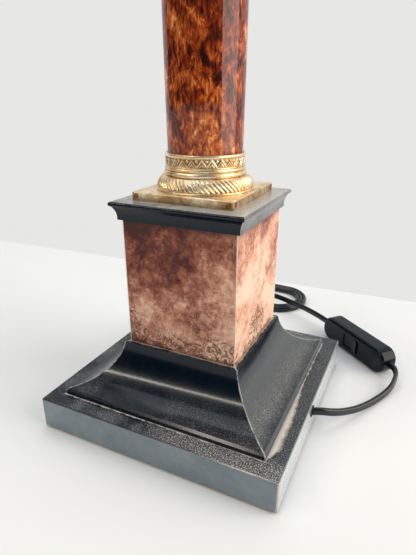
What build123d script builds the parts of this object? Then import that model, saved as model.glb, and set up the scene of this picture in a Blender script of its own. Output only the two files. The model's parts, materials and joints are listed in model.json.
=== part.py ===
from build123d import *
import os
from math import cos, pi, radians, sin, sqrt, tan

# Column table lamp: a stepped square base, a tapering column in turned brass rings, a
# lampholder, and a flat two-core cord with its inline switch, loose coil and plug.
# Millimetres, +Z up. The origin is the lamp's centre on the surface it stands on, and
# the front face looks along -Y.

os.makedirs("parts", exist_ok=True)

# ----- Driving sizes -------------------------------------------------------------------

# Stepped base
plinth_side = 180.0
plinth_height = 23.5
plinth_edge = 0.8  # softened edges of the black blocks
felt_thickness = 1.2
felt_inset = 1.5
recess_radius = 66.0  # round hollow under the plinth
recess_depth = 20.3
cove_foot_side = 155.0
cove_lip = 4.4
cove_lip_step = 1.5
cove_top_side = 90.0
cove_height = 35.6
cove_sag = 7.4  # how far the hollow slope bows in from its chord
pedestal_side = 83.5
pedestal_height = 92.7
panel_thickness = 9.0
glue_block = 14.0
cap_foot_side = 88.4
cap_side = 96.3
cap_height = 12.5
cap_nose = 3.4
cap_nose_step = 1.5
cap_sag = 0.9
ballast_thickness = 9.0
ballast_bore = 26.0
ballast_slot = 22.0
ballast_slot_turn = -50.0

# Brass foot of the column
plate_side = 73.0
plate_thickness = 5.6
plate_edge = 0.5
rope_height = 9.4
rope_radius = 33.3
rope_neck_radius = 28.4
rope_wide_at = 1.3  # height of the widest turn above the ring's thin flange
rope_flange_height = 1.9
rope_flange_radius = 33.7
rope_strands = 62
rope_groove = 0.75
rope_lean = 2.0  # strand widths that a strand leans over its height
rope_levels = 6
bead_height = 6.0
bead_radius = 28.3
bead_upper_radius = 27.6
collar_height = 8.5
collar_radius = 26.7
collar_rim = 0.6
collar_rim_height = 1.6
zigzag_count = 26
zigzag_foot = 0.9
zigzag_height = 4.9
zigzag_line = 1.0
zigzag_relief = 0.45
plate_pin_radius = 1.9
plate_pin_depth = 0.6
plate_pin_inset = 3.4

# Column and head
shaft_foot_radius = 25.5
shaft_swell = 0.95  # gentle swelling halfway up the bare column
shaft_length = 303.9
shaft_wall = 4.0
shaft_plug_length = 12.0
echinus_height = 9.0
echinus_radius = 32.0
head_plate_side = 68.0
neck_height = 24.4
neck_foot_radius = 24.0
neck_waist_radius = 8.8
neck_bead_radius = 11.5
neck_hollow_radius = 12.5
neck_hollow_height = 8.5

# Threaded tube that draws the lamp together
rod_radius = 4.95
rod_bore_radius = 3.9
rod_hole_radius = 5.3
rod_below_nut = 2.4
rod_into_holder = 8.0
nut_flats = 14.0
nut_height = 5.0
washer_radius = 11.0
washer_thickness = 1.6
screw_radius = 1.75
screw_length = 22.0
screw_head_radius = 3.6
screw_wall_gap = 5.8  # between the screw heads and the round wall of the recess
screw_spacing = (recess_radius - screw_head_radius - screw_wall_gap) * sqrt(2)

# Lampholder for the standard 27 mm screw cap
holder_cap_height = 26.0
holder_radius = 21.5
holder_wall = 1.6
holder_collar_radius = 9.5
holder_collar_height = 8.0
holder_dome_height = 9.0
skirt_radius = 19.7
skirt_bore_radius = 14.5
skirt_height = 30.0
skirt_flange = 2.4
shell_bore_radius = 13.3
shell_wall = 0.5
shell_height = 20.0
insert_radius = 17.6
insert_height = 11.0
contact_length = 12.0
contact_width = 4.8
contact_depth = 4.4
ring_radius = 28.0
ring_height = 8.0
ring_flange = 2.0
ring_collar_wall = 2.6

# Cord: flat two-core lead, which stands on its narrow edge
cord_width = 6.0
cord_thickness = 3.6
cord_lift = 3.1  # centre line above the surface where the cord lies on it
mouth_height = 17.2
mouth_depth = -9.0
mouth_skew = 25.0  # degrees that the drilled hole leans to the back
mouth_radius = 4.2
grommet_length = 9.0
grommet_lip = 0.6
core_radius = 0.95
clamp_inside = 24.0  # how far the cord clamp stands inside the round hollow
clamp_length = 16.0
clamp_width = 7.0
clamp_screw_spacing = 11.0
clamp_screw_radius = 1.4
clamp_screw_bite = 2.4

# Inline switch, lying on its long edge
switch_centre = (103.6, 118.3)
switch_turn = -41.4  # degrees from +X to its long axis
switch_length = 84.0
switch_width = 23.0
switch_thickness = 17.0
switch_corner = 10.5
switch_wall = 1.8
switch_edge = 3.0
rocker_length = 19.2
switch_terminal_place = 20.0  # from the switch's middle, along it
contact_bridge_length = 26.0
rocker_width = 12.0
rocker_gap = 0.7
rocker_depth = 4.5  # pivot below the front face
rocker_tilt = 7.0  # degrees each way
pivot_radius = 1.2
pivot_reach = 1.4

# Coil of spare cord behind the lamp, an oval of flat turns
coil_centre_y = 201.0
coil_right_x = -3.0
coil_straight = 105.0
coil_inner = 22.4  # centre line of the innermost strand from the coil's middle line
coil_pitch = 4.1
coil_turns = 3
coil_fan = 5.0  # how much further out each loose turn reaches at the left end
coil_lead_in = 28.0

# Two-pin plug
plug_tip_x = -88.0
plug_y = 130.0
plug_length = 35.0
plug_width = 35.3
plug_thickness = 13.7
plug_relief_length = 20.0
pin_radius = 2.0
pin_length = 19.0
pin_spacing = 18.6
sleeve_length = 10.0

# Clearances
slip = 0.15
running = 0.05
ring_clearance = 0.3

# ----- Heights worked out from the sizes -----------------------------------------------

plinth_foot = felt_thickness
plinth_top = plinth_foot + plinth_height
recess_ceiling = plinth_foot + recess_depth
clamp_reach = plinth_side / 2 - recess_radius + clamp_inside  # from the mouth, along the hole
cove_top = plinth_top + cove_height
pedestal_top = cove_top + pedestal_height
cap_top = pedestal_top + cap_height
plate_top = cap_top + plate_thickness
rope_top = plate_top + rope_height
bead_top = rope_top + bead_height
collar_top = bead_top + collar_height
shaft_top = plate_top + shaft_length
head_plate_top = shaft_top + plate_thickness
neck_top = head_plate_top + neck_height
rod_foot = recess_ceiling - washer_thickness - nut_height - rod_below_nut
rod_top = neck_top + rod_into_holder
skirt_seat = neck_top + holder_cap_height
skirt_top = skirt_seat + skirt_flange + skirt_height
strand_radius_foot = shaft_foot_radius + slip


def finish(piece, name):
    """Names a finished piece and writes it."""
    piece.part.label = name
    export_step(piece.part, f"parts/{name}.step")


def arc_middle(start, end, sag):
    """The middle point of an arc that bows by sag to the left of its chord."""
    run_x, run_y = end[0] - start[0], end[1] - start[1]
    chord = sqrt(run_x**2 + run_y**2)
    return (
        (start[0] + end[0]) / 2 - run_y / chord * sag,
        (start[1] + end[1]) / 2 + run_x / chord * sag,
    )


# ----- Stepped base --------------------------------------------------------------------

with BuildPart() as base_felt:
    with BuildSketch():
        RectangleRounded(plinth_side - 2 * felt_inset, plinth_side - 2 * felt_inset, 4)
    extrude(amount=felt_thickness)
finish(base_felt, "base_felt")

mouth = Vector(plinth_side / 2, mouth_depth, mouth_height)
skew = Vector(cos(radians(mouth_skew)), sin(radians(mouth_skew)), 0)
mouth_plane = Plane(mouth, x_dir=(0, 0, 1), z_dir=skew)


def clamp_place(height):
    """A level plane over the cord clamp, with X across the cord."""
    origin = mouth - skew * clamp_reach
    return Plane((origin.X, origin.Y, height), x_dir=(-skew.Y, skew.X, 0), z_dir=(0, 0, 1))



with BuildPart() as base_plinth:
    with BuildSketch(Plane.XY.offset(plinth_foot)):
        Rectangle(plinth_side, plinth_side)
    extrude(amount=plinth_height)
    chamfer(base_plinth.edges().filter_by(Axis.Z), length=plinth_edge)
    chamfer(base_plinth.faces().sort_by(Axis.Z)[-1].edges(), length=plinth_edge)
    with BuildSketch(Plane.XY.offset(plinth_foot)):
        Circle(recess_radius)
    extrude(amount=recess_depth, mode=Mode.SUBTRACT)
    with BuildSketch(Plane.XY.offset(recess_ceiling)):
        Circle(rod_hole_radius)
        with GridLocations(screw_spacing, screw_spacing, 2, 2):
            Circle(screw_radius + slip)
    extrude(until=Until.LAST, mode=Mode.SUBTRACT)
    with BuildSketch(mouth_plane.offset(plinth_edge * 4)):
        Circle(mouth_radius)
    extrude(amount=-(plinth_side / 2 - recess_radius) * 1.6, mode=Mode.SUBTRACT)
    with BuildSketch(clamp_place(recess_ceiling)):
        with GridLocations(clamp_screw_spacing, 0, 2, 1):
            Circle(clamp_screw_radius + running)
    extrude(amount=clamp_screw_bite + slip, mode=Mode.SUBTRACT)
finish(base_plinth, "base_plinth")

with BuildPart() as ballast_weight:
    with BuildSketch(Plane.XY.offset(felt_thickness)):
        Circle(recess_radius - 4 * slip)
        Circle(ballast_bore, mode=Mode.SUBTRACT)
        with Locations(Rotation(0, 0, ballast_slot_turn)):
            with Locations((recess_radius / 2 + ballast_bore / 2, 0)):
                Rectangle(recess_radius, ballast_slot, mode=Mode.SUBTRACT)
    extrude(amount=ballast_thickness)
    chamfer(ballast_weight.faces().sort_by(Axis.Z)[-1].edges(), length=1)
finish(ballast_weight, "ballast_weight")


def cove_outline(plane):
    """Side view of the cove base: a low lip, a hollow slope and a flat top."""
    lip_top = plinth_top + cove_lip
    slope_foot = (cove_foot_side / 2 - cove_lip_step, lip_top)
    slope_head = (cove_top_side / 2, cove_top)
    with BuildSketch(plane) as outline:
        with BuildLine():
            Polyline(
                (0, plinth_top),
                (cove_foot_side / 2, plinth_top),
                (cove_foot_side / 2, lip_top - cove_lip_step),
                slope_foot,
            )
            ThreePointArc(slope_foot, arc_middle(slope_foot, slope_head, cove_sag), slope_head)
            Line(slope_head, (0, cove_top))
            mirror(about=Plane.YZ)
        make_face()
    return outline.sketch


with BuildPart() as cove_base:
    extrude(cove_outline(Plane.XZ), amount=cove_foot_side / 2, both=True)
    extrude(cove_outline(Plane.YZ), amount=cove_foot_side / 2, both=True, mode=Mode.INTERSECT)
    with Locations((0, 0, cove_top)):
        Hole(rod_hole_radius)
    with BuildSketch(Plane.XY.offset(plinth_top)):
        with GridLocations(screw_spacing, screw_spacing, 2, 2):
            Circle(screw_radius + slip)
    extrude(amount=screw_length - plinth_top + recess_ceiling + 1, mode=Mode.SUBTRACT)
finish(cove_base, "cove_base")

with BuildPart() as base_screws:
    with GridLocations(screw_spacing, screw_spacing, 2, 2):
        with Locations((0, 0, recess_ceiling)):
            Cylinder(screw_radius, screw_length, align=(Align.CENTER, Align.CENTER, Align.MIN))
            Cylinder(screw_head_radius, 2.2, align=(Align.CENTER, Align.CENTER, Align.MAX))
finish(base_screws, "base_screws")

# ----- Pedestal ------------------------------------------------------------------------


def pedestal_panel(turn):
    """One side of the pedestal, mitred to its neighbours at both upright edges."""
    outer, inner = pedestal_side / 2, pedestal_side / 2 - panel_thickness
    with BuildPart() as panel:
        with BuildSketch(Plane.XY.offset(cove_top).rotated((0, 0, turn))):
            with BuildLine():
                Polyline(
                    (-outer, -outer), (outer, -outer), (inner, -inner), (-inner, -inner), close=True
                )
            make_face()
        extrude(amount=pedestal_height)
    return panel


for panel_turn, panel_name in ((0, "front"), (90, "right"), (180, "back"), (270, "left")):
    finish(pedestal_panel(panel_turn), f"pedestal_{panel_name}")

glue_place = pedestal_side - 2 * panel_thickness - glue_block
with BuildPart() as pedestal_glue_blocks:
    with BuildSketch(Plane.XY.offset(cove_top)):
        with GridLocations(glue_place, glue_place, 2, 2):
            Rectangle(glue_block, glue_block)
    extrude(amount=pedestal_height)
finish(pedestal_glue_blocks, "pedestal_glue_blocks")


def cap_outline(plane):
    """Side view of the cap: a shallow hollow under a slab with a rounded nose."""
    under = cap_top - cap_nose
    foot = (cap_foot_side / 2, pedestal_top)
    throat = (cap_side / 2 - cap_nose_step, under)
    nose = cap_side / 2
    round_foot, round_head = (nose - cap_nose / 2, under), (nose - cap_nose / 2, cap_top)
    with BuildSketch(plane) as outline:
        with BuildLine():
            Line((0, pedestal_top), foot)
            ThreePointArc(foot, arc_middle(foot, throat, cap_sag), throat)
            Line(throat, round_foot)
            ThreePointArc(round_foot, (nose, cap_top - cap_nose / 2), round_head)
            Line(round_head, (0, cap_top))
            mirror(about=Plane.YZ)
        make_face()
    return outline.sketch


with BuildPart() as cap_moulding:
    extrude(cap_outline(Plane.XZ), amount=cap_side / 2, both=True)
    extrude(cap_outline(Plane.YZ), amount=cap_side / 2, both=True, mode=Mode.INTERSECT)
    with Locations((0, 0, cap_top)):
        Hole(rod_hole_radius)
finish(cap_moulding, "cap_moulding")

# ----- Brass foot of the column --------------------------------------------------------


def square_plate(side, foot):
    """A square brass plate with the threaded tube's hole."""
    with BuildPart() as plate:
        with BuildSketch(Plane.XY.offset(foot)):
            Rectangle(side, side)
            Circle(rod_hole_radius, mode=Mode.SUBTRACT)
        extrude(amount=plate_thickness)
        chamfer(plate.edges().filter_by(Axis.Z).filter_by(GeomType.LINE), length=plate_edge)
        chamfer(plate.faces().sort_by(Axis.Z)[-1].outer_wire().edges(), length=plate_edge)
        for turn in (0, 90, 180, 270):
            away = Vector(0, -side / 2, foot + plate_thickness / 2).rotate(Axis.Z, turn)
            outward = Vector(0, -1, 0).rotate(Axis.Z, turn)
            with BuildSketch(Plane(away, x_dir=(0, 0, 1), z_dir=outward)):
                with GridLocations(0, side - 2 * plate_pin_inset, 1, 2):
                    Circle(plate_pin_radius)
                    Circle(plate_pin_radius * 0.62, mode=Mode.SUBTRACT)
            extrude(amount=-plate_pin_depth, mode=Mode.SUBTRACT)
    return plate


finish(square_plate(plate_side, cap_top), "foot_plate")


strand_height = rope_height - rope_flange_height


def rope_points(height):
    """Star outline of the rope ring at one height: a ridge and a groove for each strand."""
    above = (height - rope_wide_at) / (strand_height - rope_wide_at)
    ridge = rope_neck_radius + (rope_radius - rope_neck_radius) * sqrt(1 - min(1, above**2))
    step = 2 * pi / rope_strands
    turn = rope_lean * step * height / strand_height
    points = []
    for strand in range(rope_strands):
        for half, radius in ((0, ridge), (0.5, ridge - rope_groove)):
            angle = turn + (strand + half) * step
            points.append((radius * cos(angle), radius * sin(angle)))
    return points


with BuildPart() as rope_ring:
    for rope_level in range(rope_levels + 1):
        level_height = strand_height * rope_level / rope_levels
        with BuildSketch(Plane.XY.offset(plate_top + rope_flange_height + level_height)):
            with BuildLine():
                Polyline(*rope_points(level_height), close=True)
            make_face()
    loft(ruled=True)
    with BuildSketch(Plane.XY.offset(plate_top)):
        Circle(rope_flange_radius)
    extrude(amount=rope_flange_height)
    with Locations((0, 0, rope_top)):
        Hole(strand_radius_foot)
finish(rope_ring, "rope_ring")


def bead_ring(foot, flip, bore):
    """Two turned beads on one ring, the larger one towards the square plate."""
    low, high = bead_radius + bore - strand_radius_foot, bead_upper_radius + bore - strand_radius_foot
    lower_height = bead_height * 0.58
    upper_height = bead_height - lower_height
    with BuildPart() as ring:
        with BuildSketch(Plane.XZ):
            with BuildLine():
                Polyline((bore, 0), (low - 1, 0))
                ThreePointArc((low - 1, 0), (low, lower_height / 2), (low - 1, lower_height))
                Line((low - 1, lower_height), (high - 0.8, lower_height))
                ThreePointArc(
                    (high - 0.8, lower_height),
                    (high, lower_height + upper_height / 2),
                    (high - 0.8, bead_height),
                )
                Polyline((high - 0.8, bead_height), (bore, bead_height), (bore, 0))
            make_face()
        revolve(axis=Axis.Z)
    ring.part.position = (0, 0, foot)
    if flip:
        ring.part.orientation = (180, 0, 0)
    return ring


finish(bead_ring(rope_top, False, strand_radius_foot), "foot_bead_ring")


def zigzag_collar(foot, flip, bore):
    """A thin band with a raised rim at its open edge and a zigzag line round its middle."""
    wall = collar_radius - strand_radius_foot
    outer = bore + wall
    rim_foot = collar_height - collar_rim_height
    half_wave = pi * outer / zigzag_count
    zigzag_top = zigzag_foot + zigzag_height
    with BuildPart() as collar:
        with BuildSketch(Plane.XZ):
            with BuildLine():
                Polyline(
                    (bore, 0),
                    (outer + collar_rim / 2, 0),
                    (outer + collar_rim / 2, zigzag_foot - collar_rim / 2),
                    (outer, zigzag_foot),
                    (outer, rim_foot),
                    (outer + collar_rim, rim_foot + collar_rim),
                    (outer + collar_rim, collar_height),
                    (bore, collar_height),
                    close=True,
                )
            make_face()
        revolve(axis=Axis.Z)
        with PolarLocations(0, zigzag_count):
            with BuildSketch(Plane(((bore + outer) / 2, 0, 0), x_dir=(0, 1, 0), z_dir=(1, 0, 0))):
                with BuildLine():
                    Polyline(
                        (-half_wave, zigzag_foot),
                        (0, zigzag_top),
                        (half_wave, zigzag_foot),
                        (half_wave - zigzag_line, zigzag_foot),
                        (0, zigzag_top - 1.6 * zigzag_line),
                        (-half_wave + zigzag_line, zigzag_foot),
                        close=True,
                    )
                make_face()
        extrude(amount=wall / 2 + zigzag_relief)
    collar.part.position = (0, 0, foot)
    if flip:
        collar.part.orientation = (180, 0, 0)
    return collar


finish(zigzag_collar(bead_top, False, strand_radius_foot), "foot_zigzag_collar")

# ----- Column --------------------------------------------------------------------------

head_collar_foot = shaft_top - echinus_height - bead_height - collar_height
with BuildPart() as column_shaft:
    with BuildSketch(Plane.XZ):
        with BuildLine():
            Polyline(
                (shaft_foot_radius - shaft_wall, plate_top),
                (shaft_foot_radius, plate_top),
                (shaft_foot_radius, collar_top),
            )
            ThreePointArc(
                (shaft_foot_radius, collar_top),
                (shaft_foot_radius + shaft_swell, (collar_top + head_collar_foot) / 2),
                (shaft_foot_radius, head_collar_foot),
            )
            Polyline(
                (shaft_foot_radius, head_collar_foot),
                (shaft_foot_radius, shaft_top),
                (shaft_foot_radius - shaft_wall, shaft_top),
                (shaft_foot_radius - shaft_wall, plate_top),
            )
        make_face()
    revolve(axis=Axis.Z)
finish(column_shaft, "column_shaft")


def shaft_plug(foot):
    """A turned disc that centres the hollow column on the threaded tube."""
    with BuildPart() as plug:
        with BuildSketch(Plane.XY.offset(foot)):
            Circle(shaft_foot_radius - shaft_wall - slip)
            Circle(rod_hole_radius, mode=Mode.SUBTRACT)
        extrude(amount=shaft_plug_length)
    return plug


finish(shaft_plug(plate_top), "shaft_plug_bottom")
finish(shaft_plug(shaft_top - shaft_plug_length), "shaft_plug_top")

# Brass head of the column, which repeats the foot upside down
head_bore = shaft_foot_radius + slip
echinus_foot = shaft_top - echinus_height
head_bead_foot = echinus_foot - bead_height

finish(zigzag_collar(head_bead_foot, True, head_bore), "head_zigzag_collar")
finish(bead_ring(echinus_foot, True, head_bore), "head_bead_ring")

with BuildPart() as head_echinus:
    with BuildSketch(Plane.XZ):
        echinus_neck = (bead_radius - 0.6, echinus_foot)
        echinus_lip = (echinus_radius, shaft_top - 2)
        with BuildLine():
            Line((head_bore, echinus_foot), echinus_neck)
            ThreePointArc(echinus_neck, arc_middle(echinus_neck, echinus_lip, -1.2), echinus_lip)
            Polyline(echinus_lip, (echinus_radius, shaft_top), (head_bore, shaft_top), (head_bore, echinus_foot))
        make_face()
    revolve(axis=Axis.Z)
finish(head_echinus, "head_echinus")

finish(square_plate(head_plate_side, shaft_top), "head_plate")

with BuildPart() as brass_neck:
    with BuildSketch(Plane.XZ):
        with BuildLine():
            foot_step = (neck_foot_radius, head_plate_top + 2.5)
            waist = (neck_waist_radius, neck_top - 8)
            bead_top_point = (neck_waist_radius, neck_top - 4)
            Polyline(
                (neck_hollow_radius, head_plate_top), (neck_foot_radius, head_plate_top), foot_step
            )
            ThreePointArc(foot_step, arc_middle(foot_step, waist, 4.6), waist)
            ThreePointArc(waist, (neck_bead_radius, neck_top - 6), bead_top_point)
            Polyline(
                bead_top_point,
                (neck_waist_radius, neck_top),
                (rod_hole_radius, neck_top),
                (rod_hole_radius, head_plate_top + neck_hollow_height + 2),
                (neck_hollow_radius - 2, head_plate_top + neck_hollow_height),
                (neck_hollow_radius, head_plate_top + neck_hollow_height - 2),
                (neck_hollow_radius, head_plate_top),
            )
        make_face()
    revolve(axis=Axis.Z)
finish(brass_neck, "brass_neck")

# ----- Threaded tube, nuts and washers -------------------------------------------------

with BuildPart() as threaded_tube:
    with BuildSketch(Plane.XY.offset(rod_foot)):
        Circle(rod_radius)
        Circle(rod_bore_radius, mode=Mode.SUBTRACT)
    extrude(amount=rod_top - rod_foot)
finish(threaded_tube, "threaded_tube")


def tube_washer(foot):
    """A flat washer on the threaded tube."""
    with BuildPart() as washer:
        with BuildSketch(Plane.XY.offset(foot)):
            Circle(washer_radius)
            Circle(rod_hole_radius, mode=Mode.SUBTRACT)
        extrude(amount=washer_thickness)
    return washer


def tube_nut(foot):
    """A hexagon nut on the threaded tube."""
    with BuildPart() as nut:
        with BuildSketch(Plane.XY.offset(foot)):
            RegularPolygon(nut_flats / 2, 6, major_radius=False)
            Circle(rod_radius + running, mode=Mode.SUBTRACT)
        extrude(amount=nut_height)
    return nut


finish(tube_washer(recess_ceiling - washer_thickness), "washer_bottom")
finish(tube_nut(recess_ceiling - washer_thickness - nut_height), "nut_bottom")
finish(tube_washer(head_plate_top), "washer_top")
finish(tube_nut(head_plate_top + washer_thickness), "nut_top")

# ----- Lampholder ----------------------------------------------------------------------

holder_shoulder = neck_top + holder_collar_height
holder_dome_top = holder_shoulder + holder_dome_height
with BuildPart() as holder_cap:
    with BuildSketch(Plane.XZ):
        inner = holder_radius - holder_wall
        with BuildLine():
            collar_edge = (holder_collar_radius, holder_shoulder)
            dome_edge = (holder_radius, holder_dome_top)
            Polyline((rod_radius + running, neck_top), (holder_collar_radius, neck_top), collar_edge)
            ThreePointArc(collar_edge, arc_middle(collar_edge, dome_edge, -3.0), dome_edge)
            Polyline(dome_edge, (holder_radius, skirt_seat), (inner, skirt_seat), (inner, holder_dome_top))
            dome_inner = (holder_collar_radius, holder_shoulder + 2 * holder_wall)
            ThreePointArc(
                (inner, holder_dome_top), arc_middle((inner, holder_dome_top), dome_inner, 2.4), dome_inner
            )
            Polyline(
                dome_inner, (rod_radius + running, holder_shoulder + 2 * holder_wall), (rod_radius + running, neck_top)
            )
        make_face()
    revolve(axis=Axis.Z)
finish(holder_cap, "holder_cap")

skirt_tail = 8.0
insert_foot = skirt_seat - 7.0
shell_foot = insert_foot + insert_height
with BuildPart() as holder_skirt:
    with BuildSketch(Plane.XZ):
        tail_radius = holder_radius - holder_wall - slip
        with BuildLine():
            Polyline(
                (insert_radius + slip, skirt_seat - skirt_tail),
                (tail_radius, skirt_seat - skirt_tail),
                (tail_radius, skirt_seat),
                (holder_radius + 0.8, skirt_seat),
                (holder_radius + 0.8, skirt_seat + skirt_flange),
                (skirt_radius, skirt_seat + skirt_flange),
                (skirt_radius, skirt_top - 1),
                (skirt_radius - 1, skirt_top),
                (skirt_bore_radius, skirt_top),
                (skirt_bore_radius, shell_foot),
                (insert_radius + slip, shell_foot),
                close=True,
            )
        make_face()
    revolve(axis=Axis.Z)
finish(holder_skirt, "holder_skirt")

terminal_reach = 10.5
with BuildPart() as holder_insert:
    with BuildSketch(Plane.XY.offset(insert_foot)):
        Circle(insert_radius)
        with Locations((terminal_reach, 0), (-terminal_reach, 0)):
            Rectangle(5.4, 7.4, mode=Mode.SUBTRACT)
    extrude(amount=insert_height - 3)
    with BuildSketch(Plane.XY.offset(shell_foot - 3)):
        Circle(insert_radius)
    extrude(amount=3)
    with BuildSketch(Plane.XY.offset(shell_foot)):
        Rectangle(contact_length + 2 * slip, contact_width + 2 * slip)
    extrude(amount=-contact_depth, mode=Mode.SUBTRACT)
finish(holder_insert, "holder_insert")

with BuildPart() as holder_terminals:
    with BuildSketch(Plane.XY.offset(insert_foot + 1)):
        with Locations((terminal_reach, 0), (-terminal_reach, 0)):
            Rectangle(5.0, 7.0)
    extrude(amount=insert_height - 3 - 1)
    with BuildSketch(Plane.XY.offset(insert_foot + 1)):
        with Locations((terminal_reach, 0), (-terminal_reach, 0)):
            Circle(1.3)
    extrude(amount=4, mode=Mode.SUBTRACT)
finish(holder_terminals, "holder_terminals")

with BuildPart() as screw_shell:
    with BuildSketch(Plane.XY.offset(shell_foot)):
        Circle(shell_bore_radius + shell_wall)
        Circle(shell_bore_radius, mode=Mode.SUBTRACT)
    extrude(amount=shell_height)
finish(screw_shell, "screw_shell")

contact_foot = shell_foot - contact_depth
contact_half = contact_length / 2
with BuildPart() as centre_contact:
    with BuildSketch(Plane.XZ):
        with BuildLine():
            Polyline(
                (-contact_half, contact_foot),
                (contact_half, contact_foot),
                (contact_half, contact_foot + 0.6),
                (contact_half - 3, contact_foot + 0.6),
                (contact_half - 1.5, contact_foot + 2.4),
                (-contact_half + 2, shell_foot - 0.2),
                (-contact_half + 1.8, shell_foot - 0.8),
                (contact_half - 2.6, contact_foot + 2.0),
                (contact_half - 3.8, contact_foot + 0.6),
                (-contact_half, contact_foot + 0.6),
                close=True,
            )
        make_face()
    extrude(amount=contact_width / 2, both=True)
finish(centre_contact, "centre_contact")

ring_seat = skirt_seat + skirt_flange
ring_bore = skirt_radius + ring_clearance
with BuildPart() as shade_ring:
    with BuildSketch(Plane.XZ):
        with BuildLine():
            Polyline(
                (ring_bore, ring_seat),
                (ring_radius, ring_seat),
                (ring_radius, ring_seat + ring_flange),
                (ring_bore + ring_collar_wall, ring_seat + ring_flange),
                (ring_bore + ring_collar_wall, ring_seat + ring_height),
                (ring_bore, ring_seat + ring_height),
                close=True,
            )
        make_face()
    revolve(axis=Axis.Z)
    with BuildSketch(Plane.XY.offset(ring_seat + ring_flange)):
        with PolarLocations(ring_bore + ring_collar_wall, 24):
            Circle(0.5)
    extrude(amount=ring_height - ring_flange, mode=Mode.SUBTRACT)
finish(shade_ring, "shade_ring")

# ----- Cord ----------------------------------------------------------------------------

switch_axis = Vector(cos(radians(switch_turn)), sin(radians(switch_turn)), 0)
switch_front = switch_axis.cross(Vector(0, 0, 1))
switch_middle = Vector(switch_centre[0], switch_centre[1], switch_width / 2)


def bend_radii(points, held=None):
    """The largest arc at each corner of a route, by the cord's rule, and what it came to."""
    held = held or {}
    radii = []
    for number in range(1, len(points) - 1):
        before = Vector(*points[number]) - Vector(*points[number - 1])
        after = Vector(*points[number + 1]) - Vector(*points[number])
        turn = radians(before.get_angle(after))
        largest = 0.45 * min(before.length, after.length) / tan(turn / 2)
        radii.append(held.get(number, largest))
    return radii


def cord_tube(name, points, held=None):
    """One stretch of flat cord on its edge: straight runs joined by tangent arcs."""
    radii = bend_radii(points, held)
    first = Vector(*points[1]) - Vector(*points[0])
    with BuildPart() as tube:
        with BuildLine() as route:
            FilletPolyline(*points, radius=radii)
        upright = Vector(0, 0, 1) if abs(first.normalized().Z) < 0.7 else Vector(0, 1, 0)
        side = first.cross(upright)
        with BuildSketch(Plane(points[0], x_dir=side.cross(first), z_dir=first)):
            SlotOverall(cord_width, cord_thickness)
        sweep(path=route.wires()[0])
    report_tube(name, tube, route.wires()[0].length, radii)
    return tube


def report_tube(name, tube, length, radii):
    """Prints a tube's length, its bends, and its volume against section times length."""
    section = (cord_width - cord_thickness) * cord_thickness + pi * cord_thickness**2 / 4
    share = tube.part.volume / (section * length)
    shown = " ".join(f"{radius:.1f}" for radius in radii)
    print(f"{name}: length {length:.1f}, volume ratio {share:.4f}, radii {shown}")


held_start = mouth - skew * (clamp_reach + 2 * clamp_width)
holder_end = insert_foot - 6
inner_route = [
    tuple(mouth),
    tuple(held_start),
    (20.5, -29.0, 10.0),
    (13.0, -15.0, 4.9),
    (0, 0, 4.9),
    (0, 0, holder_end),
]
finish(cord_tube("inner_cord", inner_route, held={4: 6.5}), "inner_cord")


def core_wire(side):
    """One insulated core from the end of the cord up into its terminal."""
    wire_route = [
        (side * 1.1, 0, holder_end),
        (side * 1.1, 0, holder_end + 1.6),
        (side * terminal_reach, 0, insert_foot - 1.6),
        (side * terminal_reach, 0, insert_foot + 3),
    ]
    with BuildPart() as wire:
        with BuildLine() as route:
            FilletPolyline(*wire_route, radius=1.3)
        with BuildSketch(Plane(wire_route[0])):
            Circle(core_radius)
        sweep(path=route.wires()[0])
    return wire.part


with BuildPart() as holder_core_wires:
    add(core_wire(1))
    add(core_wire(-1))
finish(holder_core_wires, "holder_core_wires")

with BuildPart() as cord_grommet:
    with BuildSketch(mouth_plane.offset(-grommet_length)):
        Circle(mouth_radius - running)
        SlotOverall(cord_width + 2 * slip, cord_thickness + 2 * slip, mode=Mode.SUBTRACT)
    extrude(amount=grommet_length * 2)
    split(bisect_by=Plane((plinth_side / 2 + grommet_lip, 0, 0), z_dir=(1, 0, 0)), keep=Keep.BOTTOM)
finish(cord_grommet, "cord_grommet")

clamp_foot = mouth_height - cord_width / 2 - 1.6
with BuildPart() as cord_clamp:
    with BuildSketch(clamp_place(clamp_foot)):
        RectangleRounded(clamp_length, clamp_width, 2)
        with GridLocations(clamp_screw_spacing, 0, 2, 1):
            Circle(clamp_screw_radius + slip, mode=Mode.SUBTRACT)
    extrude(amount=recess_ceiling - clamp_foot)
    with BuildSketch(mouth_plane.offset(-clamp_reach - clamp_width)):
        SlotOverall(cord_width + 2 * slip, cord_thickness + 2 * slip)
    extrude(amount=2 * clamp_width, mode=Mode.SUBTRACT)
finish(cord_clamp, "cord_clamp")

with BuildPart() as clamp_screws:
    with BuildSketch(clamp_place(clamp_foot)):
        with GridLocations(clamp_screw_spacing, 0, 2, 1):
            Circle(clamp_screw_radius)
    extrude(amount=recess_ceiling - clamp_foot + clamp_screw_bite)
    with BuildSketch(clamp_place(clamp_foot)):
        with GridLocations(clamp_screw_spacing, 0, 2, 1):
            Circle(clamp_screw_radius * 1.9)
    extrude(amount=-1.2)
finish(clamp_screws, "clamp_screws")

# Free cord from the lamp to the switch: it drops to the surface and sweeps round to the right
lamp_route = [
    tuple(mouth),
    tuple(mouth + skew * 7),
    (102.2, -1.6, 15.0),
    (109.0, 8.5, 10.2),
    (118.5, 24.0, 5.2),
    (127.5, 40.5, 3.1),
    (134.8, 55.0, 3.1),
    (139.3, 65.5, 4.5),
    (141.4, 74.5, 7.6),
    (141.4, 81.0, 10.2),
    tuple(switch_middle + switch_axis * (switch_length / 2 + 5)),
    tuple(switch_middle + switch_axis * (switch_length / 2)),
]
finish(cord_tube("cord_lamp_to_switch", lamp_route), "cord_lamp_to_switch")

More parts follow.
